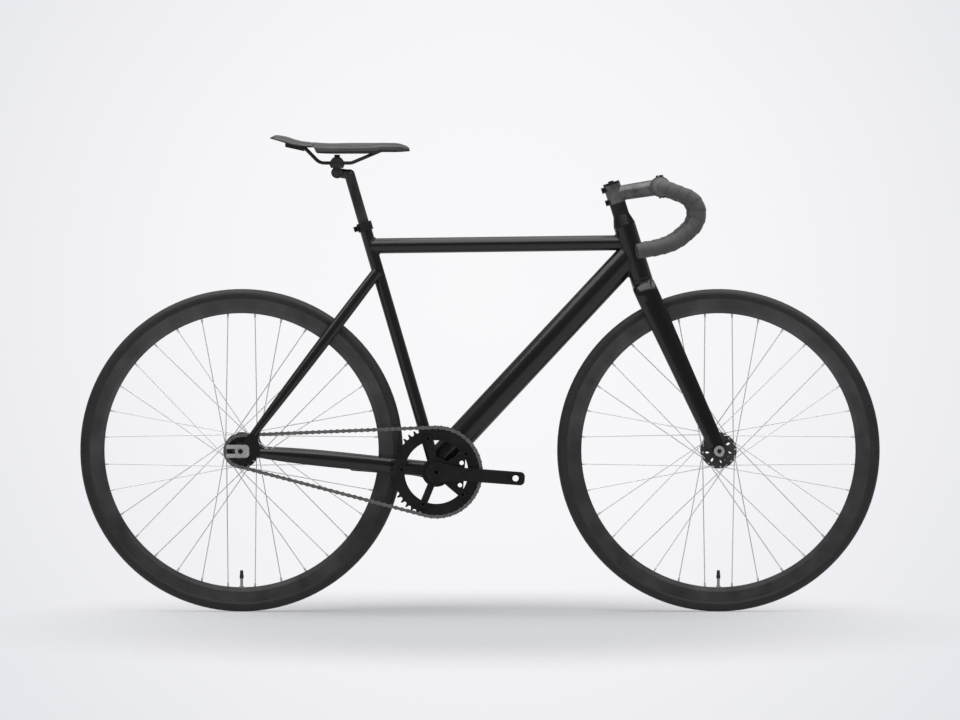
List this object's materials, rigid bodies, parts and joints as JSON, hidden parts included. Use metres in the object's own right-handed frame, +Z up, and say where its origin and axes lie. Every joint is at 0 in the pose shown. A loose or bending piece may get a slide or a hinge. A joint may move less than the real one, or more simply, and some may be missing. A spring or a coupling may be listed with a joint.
{
  "type": "fixed gear bicycle",
  "caption": "Black single-speed fixed gear bicycle with drop bars, deep rims, track ends, a chain drive that turns cranks with the rear wheel, and bare pedal threads.",
  "frame": {"origin": "on the floor, midway between the two wheel axles and on the middle plane of the frame", "axes": "+X forward towards the front wheel, +Y to the rider's left, +Z up"},
  "size_m": [1.6649, 0.4306, 0.993],
  "materials": {
    "frame_paint": "gloss black paint over aluminium tubes",
    "fork_paint": "gloss black paint over aluminium",
    "black_alloy": "black anodised, satin",
    "bright_steel": "bare turned steel, slightly worn",
    "steerer_alloy": "bare drawn tube, hidden in the head tube",
    "spoke_steel": "drawn stainless wire",
    "chain_steel": "oiled dark steel",
    "rail_steel": "blackened steel rod",
    "tyre_rubber": "matt black rubber",
    "tube_rubber": "thin smooth rubber with a plated valve",
    "bar_wrap": "dark grey wound tape, slightly fuzzy",
    "saddle_hide": "smooth black cover over thin padding",
    "dark_plastic": "moulded black plastic"
  },
  "bodies": {
    "frame": {"head_tube": "frame_paint", "top_tube": "frame_paint", "down_tube": "frame_paint", "seat_tube": "frame_paint", "bottom_bracket_shell": "frame_paint", "chainstay_right": "frame_paint", "chainstay_left": "frame_paint", "seatstay_right": "frame_paint", "seatstay_left": "frame_paint", "track_end_right": "frame_paint", "track_end_left": "frame_paint", "track_end_face_plates": "bright_steel", "seat_clamp": "black_alloy", "headset_bearings": "bright_steel", "bottom_bracket_cups": "black_alloy", "rear_axle": "bright_steel", "rear_axle_nuts": "bright_steel", "chain_outer_links": "chain_steel", "chain_inner_links": "chain_steel"},
    "fork": {"fork_steerer": "steerer_alloy", "fork_crown": "fork_paint", "fork_blade_right": "fork_paint", "fork_blade_left": "fork_paint", "headset_cover": "black_alloy", "headset_spacers": "black_alloy", "headset_top_cap": "black_alloy", "stem": "black_alloy", "stem_faceplate": "black_alloy", "stem_bolts": "bright_steel", "handlebar": "black_alloy", "bar_tape": "bar_wrap", "bar_end_plugs": "dark_plastic", "front_axle": "bright_steel", "front_axle_nuts": "bright_steel"},
    "front_wheel": {"front_tyre": "tyre_rubber", "front_inner_tube": "tube_rubber", "front_rim": "black_alloy", "front_spokes": "spoke_steel", "front_hub_shell": "black_alloy", "front_hub_bearings": "bright_steel"},
    "rear_wheel": {"rear_tyre": "tyre_rubber", "rear_inner_tube": "tube_rubber", "rear_rim": "black_alloy", "rear_spokes": "spoke_steel", "rear_hub_shell": "black_alloy", "rear_hub_bearings": "bright_steel", "cog": "bright_steel", "cog_lockring": "bright_steel"},
    "crankset": {"crank_arm_right": "black_alloy", "crank_arm_left": "black_alloy", "chainring": "black_alloy", "chainring_bolts": "bright_steel", "crank_spindle": "bright_steel", "crank_bolts": "bright_steel"},
    "seat": {"seatpost": "black_alloy", "saddle_clamp": "black_alloy", "saddle_shell": "dark_plastic", "saddle_cover": "saddle_hide", "saddle_rails": "rail_steel"}
  },
  "joints": [
    {"name": "fork_steer", "type": "hinge", "parent": "frame", "child": "fork", "pos_m": [0.45263, 0, 0.32217], "axis": [-0.3007, 0, 0.9537], "range_deg": [-70, 70]},
    {"name": "front_wheel_spin", "type": "hinge", "parent": "fork", "child": "front_wheel", "pos_m": [0.4965, 0, 0.336], "axis": [0, 1, 0], "continuous": true},
    {"name": "rear_wheel_spin", "type": "hinge", "parent": "frame", "child": "rear_wheel", "pos_m": [-0.4965, 0, 0.336], "axis": [0, 1, 0], "continuous": true, "deforming": ["chain_outer_links", "chain_inner_links"]},
    {"name": "crank_spin", "type": "hinge", "parent": "frame", "child": "crankset", "pos_m": [-0.09065, 0, 0.292], "axis": [0, 1, 0], "continuous": true},
    {"name": "seatpost_slide", "type": "slide", "parent": "frame", "child": "seat", "axis": [-0.2807, 0, 0.9598], "range_m": [-0.08, 0.08]}
  ],
  "couplings": [
    {"joint": "crank_spin", "follows": "rear_wheel_spin", "ratio": 0.34783}
  ]
}
